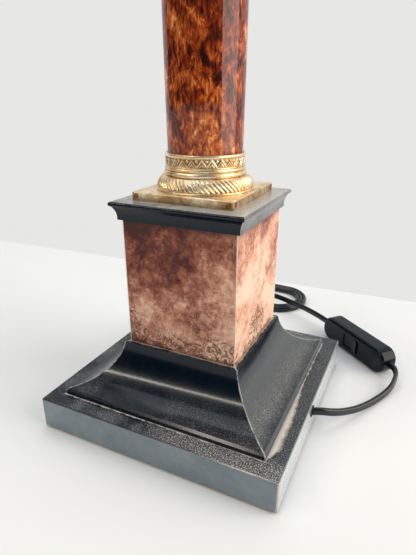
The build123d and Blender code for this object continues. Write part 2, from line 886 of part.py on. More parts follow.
# From the switch over the coil's near turns and down inside them
coil_far_y = coil_centre_y + coil_inner
coil_start_x = coil_right_x - coil_straight + coil_lead_in
lead_route = [
    tuple(switch_middle - switch_axis * (switch_length / 2)),
    tuple(switch_middle - switch_axis * (switch_length / 2 + 12)),
    (47.0, 164.5, 12.1),
    (30.0, 173.5, 12.3),
    (2.0, 186.5, 12.2),
    (-14.0, 196.5, 7.5),
    (-27.0, 206.5, 3.6),
    (-41.0, 216.0, 3.1),
    (-56.0, 222.0, 3.1),
    (-68.0, coil_far_y, 3.1),
    (coil_start_x, coil_far_y, cord_lift),
]
finish(cord_tube("cord_switch_to_coil", lead_route), "cord_switch_to_coil")


def coil_path():
    """Draws the oval coil's centre line, from its inner strand outwards."""
    half_step = coil_pitch / 2
    left_x, right_x = coil_right_x - coil_straight, coil_right_x
    offset = coil_inner
    place = Vector(coil_start_x, coil_far_y, cord_lift)
    for turn in range(coil_turns):
        for bend_x, side in ((left_x - turn * coil_fan, -1), (right_x, 1)):
            corner = Vector(bend_x, coil_centre_y - side * offset, cord_lift)
            Line(place, corner)
            radius = offset + half_step / 2
            middle_y = coil_centre_y - side * (offset - radius)
            place = Vector(bend_x, coil_centre_y + side * (offset + half_step), cord_lift)
            ThreePointArc(corner, (bend_x + side * radius, middle_y, cord_lift), place)
            offset += half_step
    end = Vector(left_x, coil_centre_y + offset, cord_lift)
    Line(place, end)
    return end


with BuildPart() as cord_coil:
    with BuildLine() as coil_line:
        coil_end = coil_path()
    with BuildSketch(Plane((coil_start_x, coil_far_y, cord_lift), x_dir=(0, 0, 1), z_dir=(-1, 0, 0))):
        SlotOverall(cord_width, cord_thickness)
    sweep(path=coil_line.wires()[0])
finish(cord_coil, "cord_coil")
report_tube("cord_coil", cord_coil, coil_line.wires()[0].length, [coil_inner + coil_pitch / 4])
print(f"least gap between the coil's strands: {coil_pitch - cord_thickness:.2f}")

plug_cord_z = plug_thickness / 2
tail_route = [
    tuple(coil_end),
    (-128.0, coil_end.Y, 3.1),
    (-151.5, 229.0, 3.1),
    (-164.0, 206.0, 3.1),
    (-161.5, 179.0, 3.1),
    (-147.5, 155.0, 3.1),
    (-127.0, 138.0, 4.0),
    (-111.0, plug_y + 1.5, 6.0),
    (plug_tip_x - 10, plug_y, plug_cord_z),
    (plug_tip_x, plug_y, plug_cord_z),
]
finish(cord_tube("cord_coil_to_plug", tail_route), "cord_coil_to_plug")

# ----- Inline switch -------------------------------------------------------------------

seam = Plane(switch_middle, x_dir=switch_axis, z_dir=switch_front)
half_thickness = switch_thickness / 2
rocker_window = (rocker_length + 2 * rocker_gap, rocker_width + 2 * slip)
pivot_height = half_thickness - rocker_depth
lug_thickness = pivot_reach + slip
screw_places = ((30.0, 6.0), (-30.0, -6.0))


def switch_shell(front):
    """One half of the switch housing, hollow, with half of each cord entry."""
    sign = 1 if front else -1
    with BuildPart() as shell:
        with BuildSketch(seam):
            RectangleRounded(switch_length, switch_width, switch_corner)
        extrude(amount=sign * half_thickness)
        outer_face = shell.faces().filter_by(Plane(switch_middle, z_dir=switch_front)).sort_by(
            Axis(switch_middle, switch_front)
        )[-1 if front else 0]
        fillet(outer_face.edges(), radius=switch_edge)
        with BuildSketch(seam):
            RectangleRounded(
                switch_length - 2 * switch_wall, switch_width - 2 * switch_wall, switch_corner - switch_wall
            )
        extrude(amount=sign * (half_thickness - switch_wall), mode=Mode.SUBTRACT)
        with BuildSketch(seam):
            Rectangle(switch_length + 2, cord_width + 2 * slip)
        extrude(amount=sign * (cord_thickness / 2 + slip), mode=Mode.SUBTRACT)
    return shell


with BuildPart() as switch_back_shell:
    add(switch_shell(False).part)
    with BuildSketch(seam.offset(-half_thickness)):
        with Locations(*screw_places):
            Circle(1.5)
    extrude(amount=switch_wall * 1.5, mode=Mode.SUBTRACT)
finish(switch_back_shell, "switch_back_shell")

with BuildPart() as switch_front_shell:
    add(switch_shell(True).part)
    with BuildSketch(seam):
        with Locations(*screw_places):
            Circle(2.8)
            Circle(1.3, mode=Mode.SUBTRACT)
    extrude(amount=half_thickness - switch_wall)
    with BuildSketch(seam.offset(half_thickness - switch_wall)):
        lug_place = rocker_width + 2 * slip + lug_thickness
        with GridLocations(0, lug_place, 1, 2):
            Rectangle(5.0, lug_thickness)
    extrude(amount=-(rocker_depth - switch_wall + 2.4))
    with BuildSketch(seam.offset(half_thickness + 1)):
        Rectangle(*rocker_window)
    extrude(amount=-(rocker_depth + 4), mode=Mode.SUBTRACT)
    pivot_plane = Plane(switch_middle + switch_front * pivot_height, x_dir=switch_axis, z_dir=(0, 0, 1))
    with BuildSketch(pivot_plane.offset(-rocker_width / 2 - slip - lug_thickness)):
        Circle(pivot_radius + running)
    extrude(amount=rocker_width + 2 * slip + 2 * lug_thickness, mode=Mode.SUBTRACT)
finish(switch_front_shell, "switch_front_shell")

with BuildPart() as switch_case_screws:
    with BuildSketch(seam.offset(-half_thickness)):
        with Locations(*screw_places):
            Circle(1.2)
    extrude(amount=switch_thickness - switch_wall - 2)
    with BuildSketch(seam.offset(-half_thickness)):
        with Locations(*screw_places):
            Circle(2.3)
    extrude(amount=-0.9)
finish(switch_case_screws, "switch_case_screws")

# The rocker turns about an upright pin. At rest its right-hand end stands out.
rocker_lean = Vector(
    cos(radians(switch_turn - rocker_tilt)), sin(radians(switch_turn - rocker_tilt)), 0
)
rocker_plane = Plane(
    switch_middle + switch_front * pivot_height, x_dir=rocker_lean, z_dir=(0, 0, 1)
)
with BuildPart() as switch_rocker:
    with BuildSketch(rocker_plane.offset(-rocker_width / 2)):
        half = rocker_length / 2
        with BuildLine():
            Polyline((half - 1, 1.2), (-half + 1, 1.2), (-half, -rocker_depth - 0.3))
            ThreePointArc(
                (-half, -rocker_depth - 0.3), (0, -rocker_depth + 0.7), (half, -rocker_depth - 0.3)
            )
            Line((half, -rocker_depth - 0.3), (half - 1, 1.2))
        make_face()
    extrude(amount=rocker_width)
    with BuildSketch(rocker_plane.offset(-rocker_width / 2 - pivot_reach)):
        Circle(pivot_radius)
    extrude(amount=rocker_width + 2 * pivot_reach)
finish(switch_rocker, "switch_rocker")

with BuildPart() as switch_terminals:
    with BuildSketch(seam.offset(-half_thickness + switch_wall)):
        with Locations((switch_terminal_place, 6.0), (-switch_terminal_place, 6.0)):
            Rectangle(8, 5)
    extrude(amount=5.5)
finish(switch_terminals, "switch_terminals")

with BuildPart() as switch_contact_bridge:
    with BuildSketch(seam.offset(-half_thickness + switch_wall)):
        Rectangle(contact_bridge_length, 5)
    extrude(amount=0.8)
    with BuildSketch(seam.offset(-half_thickness + switch_wall + 0.8)):
        Rectangle(5, 5)
    extrude(amount=2.0)
finish(switch_contact_bridge, "switch_contact_bridge")

core_reach = switch_length / 2 - 0.3
with BuildPart() as switch_core_wires:
    with BuildSketch(Plane(switch_middle - switch_axis * core_reach, x_dir=(0, 0, 1), z_dir=switch_axis)):
        with Locations((-1.2, 0)):
            Circle(1.0)
    extrude(amount=2 * core_reach)
finish(switch_core_wires, "switch_core_wires")

# ----- Plug ----------------------------------------------------------------------------

plug_rear = plug_tip_x + plug_relief_length
plug_face = plug_rear + plug_length
with BuildPart() as plug_body:
    with BuildSketch():
        with BuildLine():
            Polyline(
                (plug_rear, plug_y),
                (plug_rear, plug_y + 6.5),
                (plug_rear + 6, plug_y + 10.5),
                (plug_face - 16, plug_y + 13.2),
                (plug_face - 9, plug_y + plug_width / 2),
                (plug_face, plug_y + plug_width / 2),
                (plug_face, plug_y),
            )
            mirror(about=Plane.XZ.offset(-plug_y))
        make_face()
    extrude(amount=plug_thickness)
    fillet(plug_body.edges().filter_by(Axis.Z), radius=3.0)
    chamfer(plug_body.faces().sort_by(Axis.Z)[-1].edges(), length=2.0)
    chamfer(plug_body.faces().sort_by(Axis.Z)[0].edges(), length=2.0)
    with BuildSketch(Plane((plug_rear, plug_y, plug_cord_z), x_dir=(0, 1, 0), z_dir=(-1, 0, 0))):
        Ellipse(4.6, 4.9)
    with BuildSketch(Plane((plug_tip_x, plug_y, plug_cord_z), x_dir=(0, 1, 0), z_dir=(-1, 0, 0))):
        Ellipse(2.9, 4.0)
    loft()
finish(plug_body, "plug_body")

with BuildPart() as plug_pins:
    with BuildSketch(Plane((plug_face, plug_y, plug_cord_z), x_dir=(0, 1, 0), z_dir=(1, 0, 0))):
        with GridLocations(pin_spacing, 0, 2, 1):
            Circle(pin_radius)
    extrude(amount=pin_length)
    fillet(plug_pins.faces().sort_by(Axis.X)[-2:].edges(), radius=1.2)
    with BuildSketch(Plane((plug_face, plug_y, plug_cord_z), x_dir=(0, 1, 0), z_dir=(1, 0, 0))):
        with GridLocations(pin_spacing, 0, 2, 1):
            Circle(pin_radius)
            Circle(pin_radius - 0.4, mode=Mode.SUBTRACT)
    extrude(amount=sleeve_length, mode=Mode.SUBTRACT)
finish(plug_pins, "plug_pins")

with BuildPart() as plug_pin_sleeves:
    with BuildSketch(Plane((plug_face, plug_y, plug_cord_z), x_dir=(0, 1, 0), z_dir=(1, 0, 0))):
        with GridLocations(pin_spacing, 0, 2, 1):
            Circle(pin_radius - 0.05)
            Circle(pin_radius - 0.38, mode=Mode.SUBTRACT)
    extrude(amount=sleeve_length)
finish(plug_pin_sleeves, "plug_pin_sleeves")
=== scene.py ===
import json
import math
from functools import reduce

import bmesh
import bpy
from mathutils import Euler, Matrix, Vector


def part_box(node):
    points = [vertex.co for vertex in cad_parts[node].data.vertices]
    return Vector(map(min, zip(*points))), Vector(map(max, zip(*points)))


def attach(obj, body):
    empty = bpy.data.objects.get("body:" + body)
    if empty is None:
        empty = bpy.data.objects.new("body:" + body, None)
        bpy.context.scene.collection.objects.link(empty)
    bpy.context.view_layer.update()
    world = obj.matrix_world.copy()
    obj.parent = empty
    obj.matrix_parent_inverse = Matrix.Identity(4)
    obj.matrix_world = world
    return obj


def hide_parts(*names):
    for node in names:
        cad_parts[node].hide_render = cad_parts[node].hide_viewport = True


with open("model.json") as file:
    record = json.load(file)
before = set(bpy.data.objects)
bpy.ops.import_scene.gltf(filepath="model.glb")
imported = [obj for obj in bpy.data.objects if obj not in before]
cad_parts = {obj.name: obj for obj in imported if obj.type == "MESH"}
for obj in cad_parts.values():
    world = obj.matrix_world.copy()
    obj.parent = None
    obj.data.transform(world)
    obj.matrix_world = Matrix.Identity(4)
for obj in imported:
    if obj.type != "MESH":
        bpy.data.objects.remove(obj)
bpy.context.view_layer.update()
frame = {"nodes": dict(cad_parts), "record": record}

MM = 0.001

# ----- Camera --------------------------------------------------------------------------

CAMERA_PLACE = (0.1369, -0.2808, 0.2287)
CAMERA_TURN = (1.1881, 0.0, 0.4481)

camera_data = bpy.data.cameras.new("camera")
camera_data.lens = 29.0
camera_data.sensor_width = 36.0
camera_data.clip_start = 0.01
camera = bpy.data.objects.new("camera", camera_data)
bpy.context.collection.objects.link(camera)
camera.location = CAMERA_PLACE
camera.rotation_euler = Euler(CAMERA_TURN)
bpy.context.scene.camera = camera


# ----- Small helpers -------------------------------------------------------------------


def new_object(name, data):
    piece = bpy.data.objects.new(name, data)
    bpy.context.collection.objects.link(piece)
    return piece


def mesh_object(name, verts, faces):
    """A smooth-shaded object whose faces all look outwards."""
    mesh = bpy.data.meshes.new(name)
    mesh.from_pydata([tuple(v) for v in verts], [], faces)
    mesh.update()
    clean = bmesh.new()
    clean.from_mesh(mesh)
    bmesh.ops.recalc_face_normals(clean, faces=clean.faces)
    clean.to_mesh(mesh)
    clean.free()
    mesh.shade_smooth()
    return new_object(name, mesh)


def grid_faces(rows, columns, closed=False):
    """Quads between rings of points, and from the last ring to the first where closed."""
    faces = []
    for row in range(rows if closed else rows - 1):
        next_row = (row + 1) % rows
        for column in range(columns):
            next_column = (column + 1) % columns
            faces.append(
                (
                    row * columns + column,
                    row * columns + next_column,
                    next_row * columns + next_column,
                    next_row * columns + column,
                )
            )
    return faces


# ----- Cord ----------------------------------------------------------------------------

CORD_WIDTH = 6.0 * MM
CORD_THICKNESS = 3.6 * MM
WAIST_DEPTH = 0.16 * MM
WAIST_HALF = 0.5 * MM
CORE_STEPS = 10
LIE = 3.1  # height of a lying cord's middle, in millimetres

MOUTH = Vector((90.0, -9.0, 17.2)) * MM
MOUTH_SKEW = math.radians(25)
MOUTH_AXIS = Vector((math.cos(MOUTH_SKEW), math.sin(MOUTH_SKEW), 0))
MOUTH_LEAD = 7 * MM

SWITCH_MIDDLE = Vector((103.6, 118.3, 11.5)) * MM
SWITCH_TURN = math.radians(-41.4)
SWITCH_AXIS = Vector((math.cos(SWITCH_TURN), math.sin(SWITCH_TURN), 0))
SWITCH_HALF = 42.0 * MM
SWITCH_LEAD_IN = 5 * MM
SWITCH_LEAD_OUT = 12 * MM

COIL_TURNS = 3
COIL_Y = 201.0
COIL_LEFT = -108.0
COIL_RIGHT = -3.0
COIL_INNER = 22.4  # from the coil's long axis to its inner strand
COIL_STEP = 2.05  # outwards at each half turn
COIL_FAN = 5.0  # how far each turn reaches past the last one at the left
HALF_TURN_POINTS = 8


def spline_line(points):
    """The smooth line that a cord's route points control."""
    curve = bpy.data.curves.new("route", "CURVE")
    curve.dimensions = "3D"
    curve.resolution_u = 10
    spline = curve.splines.new("NURBS")
    spline.points.add(len(points) - 1)
    for point, place in zip(spline.points, points):
        point.co = (*place, 1.0)
    spline.order_u = 3
    spline.use_endpoint_u = True
    carrier = bpy.data.objects.new("route", curve)
    mesh = bpy.data.meshes.new_from_object(carrier)
    line = [vertex.co.copy() for vertex in mesh.vertices]
    bpy.data.objects.remove(carrier)
    bpy.data.meshes.remove(mesh)
    bpy.data.curves.remove(curve)
    return line


def cord_section():
    """Outline of the flat cord: two round cores side by side, with a shallow waist."""
    radius = CORD_THICKNESS / 2
    centre = CORD_WIDTH / 2 - radius
    waist = radius - WAIST_DEPTH
    outline = []
    for side in (1, -1):
        for step in range(CORE_STEPS + 1):
            angle = math.pi * step / CORE_STEPS
            across = side * radius * math.cos(angle)
            outline.append((across, side * (centre + radius * math.sin(angle))))
        outline.append((-side * waist, side * WAIST_HALF))
        outline.append((-side * waist, -side * WAIST_HALF))
    return outline


def flat_cord(name, line):
    """The flat cord's surface along a line, standing on its narrow edge."""
    outline = cord_section()
    verts = []
    for number, place in enumerate(line):
        ahead = line[min(number + 1, len(line) - 1)] - line[max(number - 1, 0)]
        forward = ahead.normalized()
        across = forward.cross(Vector((0, 0, 1))).normalized()
        up = across.cross(forward)
        verts += [place + across * a + up * b for a, b in outline]
    faces = grid_faces(len(line), len(outline))
    last = (len(line) - 1) * len(outline)
    faces.append(tuple(range(len(outline))))
    faces.append(tuple(last + k for k in range(len(outline))))
    return mesh_object(name, verts, faces)


def millimetres(*points):
    return [Vector(point) * MM for point in points]


def coil_points():
    """The oval coil from its inner strand outwards, with a round half turn at each end."""
    points = []
    offset = COIL_INNER
    for turn in range(COIL_TURNS):
        for bend_x, side in ((COIL_LEFT - COIL_FAN * turn, -1), (COIL_RIGHT, 1)):
            radius = offset + COIL_STEP / 2
            middle_y = COIL_Y - side * (offset - radius)
            spread = radius / math.cos(math.pi / (2 * HALF_TURN_POINTS))
            for step in range(HALF_TURN_POINTS):
                angle = math.pi * (step + 0.5) / HALF_TURN_POINTS
                x = bend_x + side * spread * math.sin(angle)
                y = middle_y - side * spread * math.cos(angle)
                points.append((x, y, LIE))
            offset += COIL_STEP
    return points


lamp_route = [MOUTH, MOUTH + MOUTH_AXIS * MOUTH_LEAD]
lamp_route += millimetres(
    (102.2, -1.6, 15.0),
    (109.0, 8.5, 10.2),
    (118.5, 24.0, 5.2),
    (127.5, 40.5, LIE),
    (134.8, 55.0, LIE),
    (139.3, 65.5, 4.5),
    (141.4, 74.5, 7.6),
    (141.4, 81.0, 10.2),
)
lamp_route += [
    SWITCH_MIDDLE + SWITCH_AXIS * (SWITCH_HALF + SWITCH_LEAD_IN),
    SWITCH_MIDDLE + SWITCH_AXIS * SWITCH_HALF,
]

coil_route = [
    SWITCH_MIDDLE - SWITCH_AXIS * SWITCH_HALF,
    SWITCH_MIDDLE - SWITCH_AXIS * (SWITCH_HALF + SWITCH_LEAD_OUT),
]
coil_route += millimetres(
    (47.0, 164.5, 12.1),
    (30.0, 173.5, 12.3),
    (2.0, 186.5, 12.2),
    (-14.0, 196.5, 7.5),
    (-27.0, 206.5, 3.6),
    (-41.0, 216.0, LIE),
    (-56.0, 222.0, LIE),
    (-68.0, 223.4, LIE),
)
coil_route += millimetres(*coil_points())
coil_route += millimetres(
    (-108.0, 235.7, LIE),
    (-128.0, 235.7, LIE),
    (-151.5, 229.0, LIE),
    (-164.0, 206.0, LIE),
    (-161.5, 179.0, LIE),
    (-147.5, 155.0, LIE),
    (-127.0, 138.0, 4.0),
    (-111.0, 131.5, 6.0),
    (-98.0, 130.0, 6.85),
    (-88.0, 130.0, 6.85),
)

lamp_line = spline_line(lamp_route)
coil_line = spline_line(coil_route)
lamp_cord = flat_cord("cord_from_lamp", lamp_line)
coil_cord = flat_cord("cord_to_plug", coil_line)
for cord_piece in (lamp_cord, coil_cord):
    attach(cord_piece, "lamp")
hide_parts("cord_lamp_to_switch")
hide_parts("cord_switch_to_coil", "cord_coil", "cord_coil_to_plug")

# ----- Chased brass rings ---------------------------------------------------------------

ROPE_STRANDS = 62
STRAND_STEPS = 10
ROPE_LEVELS = 18
ROPE_LEAN = 2.3  # strand widths that a strand leans over its height
ROPE_NECK = 28.4 * MM  # radius at the lobes' top
ROPE_WIDEST = 33.3 * MM
ROPE_INSET = 1.6 * MM  # how far the lobes start inside their widest
ROPE_BELLY = 0.16  # share of the lobes' height at which they are widest
ROPE_TUCK = 0.10  # share by which the lobes draw in at their foot
ROPE_BEND = 1.75
ROPE_FULLNESS = 0.68
ROPE_GROOVE = 1.4 * MM
ROPE_FADE = 12  # how fast the grooves run out at the lobes' top
FLANGE_HEIGHT = 1.3 * MM
FLANGE_EDGE = 0.3 * MM
FLANGE_BEVEL = 0.4 * MM

ZIGZAG_TEETH = 26
TOOTH_STEPS = 24
BAND_ROWS = 14
BAND_RELIEF = 0.5 * MM
BAND_SUNK = 0.6 * MM  # the band's ground lies this far inside the rim
BAND_FOOT = 0.9 * MM
BAND_TOP = 5.9 * MM
COLLAR_WALL = 1.75 * MM
COLLAR_EDGE = 0.3 * MM

# Places on the zigzag band, as shares of its height or of a tooth's width.
CHEVRON_RISE = 0.88
CHEVRON_FOOT = 0.06
CHEVRON_HALF = 0.17
CHEVRON_CREST = 1.3
INNER_FROM = 0.42
INNER_FOOT = -0.42
INNER_HALF = 0.12
DROP_MIDDLE = 0.80
DROP_HALF_HEIGHT = 0.16
DROP_HALF_WIDTH = 0.15


def ring_row(radii, z):
    """Evenly spaced points round the lamp's axis at one height, each at its own radius."""
    turn = 2 * math.pi / len(radii)
    return [
        (radius * math.cos(turn * step), radius * math.sin(turn * step), z)
        for step, radius in enumerate(radii)
    ]


def ring_of_rows(name, rows, node):
    """A closed ring of brass from rows of points, standing for one node."""
    verts = [point for row in rows for point in row]
    ring = mesh_object(name, verts, grid_faces(len(rows), len(rows[0]), closed=True))
    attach(ring, "lamp")
    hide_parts(node)
    return ring


def rope_radius(share, step):
    """Radius of the leaning lobes at a share of their height and a step round the ring."""
    above_belly = max(0.0, (share - ROPE_BELLY) / (1 - ROPE_BELLY))
    swell = (1 - above_belly**ROPE_BEND) ** ROPE_FULLNESS
    tuck = ROPE_TUCK * max(0.0, 1 - share / ROPE_BELLY) ** 2
    ridge = ROPE_NECK + (ROPE_WIDEST - ROPE_NECK) * swell * (1 - tuck)
    depth = ROPE_GROOVE * (0.5 + 0.5 * swell) * min(1.0, (1 - share) * ROPE_FADE)
    along = (step / STRAND_STEPS + ROPE_LEAN * share) % 1.0
    return ridge - depth * (1 - math.sqrt(abs(math.sin(math.pi * along))))


def rope_ring():
    """The gadrooned foot ring: round lobes that lean left as they rise, over a thin flange."""
    low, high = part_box("rope_ring")
    foot = low[2]
    flange = high[0]
    shoulder = foot + FLANGE_HEIGHT
    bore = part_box("column_shaft")[1][0]
    columns = ROPE_STRANDS * STRAND_STEPS
    profile = [
        (bore, foot),
        (flange - FLANGE_EDGE, foot),
        (flange, foot + FLANGE_EDGE),
        (flange, shoulder - FLANGE_EDGE),
        (flange - FLANGE_BEVEL, shoulder),
        (ROPE_WIDEST - ROPE_INSET, shoulder),
    ]
    rows = [ring_row([radius] * columns, z) for radius, z in profile]
    for level in range(ROPE_LEVELS + 1):
        share = level / ROPE_LEVELS
        radii = [rope_radius(share, step) for step in range(columns)]
        rows.append(ring_row(radii, shoulder + share * (high[2] - shoulder)))
    rows.append(ring_row([bore] * columns, high[2]))
    return ring_of_rows("rope_ring_chased", rows, "rope_ring")


def raised_line(distance, half_width):
    """Height of a chased line, from 1 on its middle to 0 at its edge."""
    return max(0.0, 1 - abs(distance) / half_width)


def zigzag_height(tooth, share):
    """Height of the chasing over the band's ground, from 0 to 1, at one place of a tooth."""
    place = tooth % 1.0
    line = abs(2 * place - 1)
    chevron = raised_line(share - (CHEVRON_FOOT + CHEVRON_RISE * line), CHEVRON_HALF)
    inner = 0.0
    if line > INNER_FROM:
        inner = raised_line(share - (INNER_FOOT + CHEVRON_RISE * line), INNER_HALF)
    drop_across = (place - 0.5) / DROP_HALF_WIDTH
    drop_up = (share - DROP_MIDDLE) / DROP_HALF_HEIGHT
    drop = max(0.0, 1 - drop_across**2 - drop_up**2)
    return min(1.0, max(chevron * CHEVRON_CREST, inner, drop))


def collar_profile(rim, height):
    """Half section of a zigzag collar, as radius and height, from its foot up to its rim."""
    ground = rim - BAND_SUNK
    bore = rim - COLLAR_WALL
    heel = ground + COLLAR_EDGE
    profile = [
        (bore, 0),
        (heel, 0),
        (heel, BAND_FOOT - 0.35 * MM),
        (ground, BAND_FOOT),
    ]
    for row in range(BAND_ROWS + 1):
        profile.append((ground, BAND_FOOT + (BAND_TOP - BAND_FOOT) * row / BAND_ROWS))
    profile += [
        (ground, BAND_TOP + 0.55 * MM),
        (rim - 0.15 * MM, BAND_TOP + 0.75 * MM),
        (rim, BAND_TOP + 1.0 * MM),
        (rim, height - COLLAR_EDGE),
        (rim - COLLAR_EDGE, height),
        (bore, height),
    ]
    return profile


def zigzag_collar(name, node, rim_up):
    """The band beside the column, with its plain rim and the zigzag chased round it."""
    low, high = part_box(node)
    columns = ZIGZAG_TEETH * TOOTH_STEPS
    rows = []
    for radius, up in collar_profile(high[0], high[2] - low[2]):
        share = (up - BAND_FOOT) / (BAND_TOP - BAND_FOOT)
        radii = [radius] * columns
        if 0 < share < 1:
            teeth = [zigzag_height(step / TOOTH_STEPS, share) for step in range(columns)]
            radii = [radius + BAND_RELIEF * tooth for tooth in teeth]
        rows.append(ring_row(radii, low[2] + up if rim_up else high[2] - up))
    return ring_of_rows(name, rows, node)


rope_ring_piece = rope_ring()
foot_collar = zigzag_collar("foot_collar_chased", "foot_zigzag_collar", True)
head_collar = zigzag_collar("head_collar_chased", "head_zigzag_collar", False)

# ----- Materials -----------------------------------------------------------------------

PLINTH_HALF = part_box("base_plinth")[1][0]
PLINTH_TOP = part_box("base_plinth")[1][2]
COVE_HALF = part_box("cove_base")[1][0]
COVE_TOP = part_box("cove_base")[1][2]
PANEL_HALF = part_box("pedestal_right")[1][0]
PANEL_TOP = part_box("pedestal_right")[1][2]
EDGE_PIN_INSET = 3.4 * MM


class Finish:
    """A procedural material built node by node around one surface shader."""

    def __init__(self, name, **fixed):
        self.material = bpy.data.materials.new(name)
        self.material.use_nodes = True
        self.nodes = self.material.node_tree.nodes
        self.links = self.material.node_tree.links
        self.shader = self.nodes["Principled BSDF"]
        for key, value in fixed.items():
            self.shader.inputs[key.replace("_", " ")].default_value = value
        self.place = self.nodes.new("ShaderNodeTexCoord").outputs["Object"]

    def join(self, source, target):
        """Feed a socket from another socket, or set it to a number."""
        if hasattr(source, "links"):
            self.links.new(source, target)
        else:
            target.default_value = source

    def stretched(self, scale):
        """The place, with each axis scaled."""
        node = self.nodes.new("ShaderNodeMapping")
        node.inputs["Scale"].default_value = scale
        self.links.new(self.place, node.inputs["Vector"])
        return node.outputs["Vector"]

    def noise(self, scale, detail=4.0, rough=0.55, distort=0.0, at=None):
        node = self.nodes.new("ShaderNodeTexNoise")
        node.inputs["Scale"].default_value = scale
        node.inputs["Detail"].default_value = detail
        node.inputs["Roughness"].default_value = rough
        node.inputs["Distortion"].default_value = distort
        self.links.new(at or self.place, node.inputs["Vector"])
        return node.outputs["Fac"]

    def ramp(self, source, *stops):
        """Colours blended along a value, from stops of a position and a colour."""
        node = self.nodes.new("ShaderNodeValToRGB")
        bar = node.color_ramp
        while len(bar.elements) < len(stops):
            bar.elements.new(0.5)
        for element, (position, colour) in zip(bar.elements, stops):
            element.position = position
            element.color = (*colour, 1)
        self.links.new(source, node.inputs["Fac"])
        return node.outputs["Color"]

    def span(self, source, low, high, to_low=0.0, to_high=1.0):
        """A value carried from one range to another and held at its ends."""
        node = self.nodes.new("ShaderNodeMapRange")
        node.clamp = True
        for socket, value in zip(node.inputs[1:5], (low, high, to_low, to_high)):
            socket.default_value = value
        self.links.new(source, node.inputs["Value"])
        return node.outputs["Result"]

    def math(self, how, a, b=0.0):
        node = self.nodes.new("ShaderNodeMath")
        node.operation = how
        self.join(a, node.inputs[0])
        self.join(b, node.inputs[1])
        return node.outputs[0]

    def plus(self, *values):
        return reduce(lambda a, b: self.math("ADD", a, b), values)

    def minus(self, a, b):
        return self.math("SUBTRACT", a, b)

    def times(self, *values):
        return reduce(lambda a, b: self.math("MULTIPLY", a, b), values)

    def most(self, *values):
        return reduce(lambda a, b: self.math("MAXIMUM", a, b), values)

    def length(self, a, b):
        """Length of the flat vector (a, b)."""
        return self.math("SQRT", self.plus(self.times(a, a), self.times(b, b)))

    def mix(self, factor, a, b):
        """Blend from a to b, each a socket or a plain colour."""
        node = self.nodes.new("ShaderNodeMix")
        node.data_type = "RGBA"
        self.join(factor, node.inputs[0])
        for value, socket in ((a, node.inputs[6]), (b, node.inputs[7])):
            if isinstance(value, tuple):
                socket.default_value = (*value, 1)
            else:
                self.links.new(value, socket)
        return node.outputs[2]

    def axis(self, which, source=None):
        node = self.nodes.new("ShaderNodeSeparateXYZ")
        self.links.new(source or self.place, node.inputs[0])
        return node.outputs[which]

    def facing(self, which="Z"):
        """How far the surface faces along one axis."""
        geometry = self.nodes.new("ShaderNodeNewGeometry")
        return self.axis(which, geometry.outputs["Normal"])

    def bump(self, height, strength, distance):
        node = self.nodes.new("ShaderNodeBump")
        node.inputs["Strength"].default_value = strength
        node.inputs["Distance"].default_value = distance
        self.links.new(height, node.inputs["Height"])
        self.links.new(node.outputs["Normal"], self.shader.inputs["Normal"])

    def colour(self, source):
        self.join(source, self.shader.inputs["Base Color"])

    def roughness(self, source):
        self.join(source, self.shader.inputs["Roughness"])


def from_middle(f):
    """Distances from the lamp's middle along its two square axes, the larger one first."""
    across = f.math("ABSOLUTE", f.axis("X"))
    along = f.math("ABSOLUTE", f.axis("Y"))
    return f.most(across, along), f.math("MINIMUM", across, along)


class PaintedPlace:
    """Where a point of the painted wood lies, and how much dust and wear drift there."""

    def __init__(self, f):
        self.height = f.axis("Z")
        self.across = f.axis("X")
        self.along = f.axis("Y")
        self.reach, self.beside = from_middle(f)
        self.faces_up = f.span(f.facing(), 0.60, 0.95)
        self.faces_right = f.span(f.facing("X"), 0.12, 0.35)
        self.rightward = f.span(self.across, -PLINTH_HALF, PLINTH_HALF, -0.05, 0.14)
        self.over_plinth = f.span(self.height, PLINTH_TOP + 0.0002, PLINTH_TOP + 0.0010)
        self.on_plinth = f.span(self.over_plinth, 0, 1, 1, 0)
        self.below_panel = f.span(self.height, COVE_TOP + 0.0003, COVE_TOP + 0.0008, 1, 0)
        self.drift = f.noise(26, 5, 0.6, 0.5)
        self.ragged = f.noise(210, 5, 0.7)
        self.nudge = f.span(self.ragged, 0.3, 0.7, -0.0009, 0.0009)


def lacquer_paint(f, at):
    """Glossy bluish black, duller on the plinth's upright sides, with painted light making its right
    side pale.
    """
    streak = f.noise(9, 5, 0.6, at=f.stretched((1, 1, 3)))
    glossy = f.ramp(streak, (0.35, (0.0012, 0.0055, 0.0125)), (0.7, (0.0035, 0.0100, 0.0190)))
    haze = f.noise(30, 6, 0.6, 0.5)
    dull = f.ramp(haze, (0.34, (0.150, 0.195, 0.225)), (0.68, (0.225, 0.275, 0.305)))
    low = f.span(at.height, PLINTH_TOP - 0.0006, PLINTH_TOP - 0.0001, 1, 0)
    upright = f.times(low, f.span(f.facing(), 0.3, 0.8, 1.0, 0.22))
    f.join(f.span(upright, 0, 1, 0.38, 0.85), f.shader.inputs["Coat Weight"])
    # painted light: the plinth's right-facing upright side lightened to pale grey
    lit_right_side = f.times(upright, f.span(f.facing("X"), 0.5, 0.9, 0.0, 0.7))
    pale = (0.60, 0.63, 0.65)
    return f.mix(lit_right_side, f.mix(upright, glossy, dull), pale)


def dust_speckle(f, at):
    """Amount of fine dust on the plinth's top and on the slope to its right."""
    grain = f.span(f.noise(1300, 2, 0.6), 0.53, 0.60, 0.10, 1.0)
    film = f.span(f.plus(at.drift, at.rightward), 0.40, 0.64)
    amount = f.most(at.on_plinth, f.span(at.faces_right, 0, 1, 0.22, 0.55))
    beside_lip = f.span(at.across, COVE_HALF - 0.002, COVE_HALF)
    behind_corner = f.span(at.along, -COVE_HALF - 0.004, -COVE_HALF + 0.006)
    cleaner = f.span(f.times(beside_lip, behind_corner), 0, 1, 1.0, 0.35)
    return f.times(at.faces_up, film, grain, amount, cleaner)


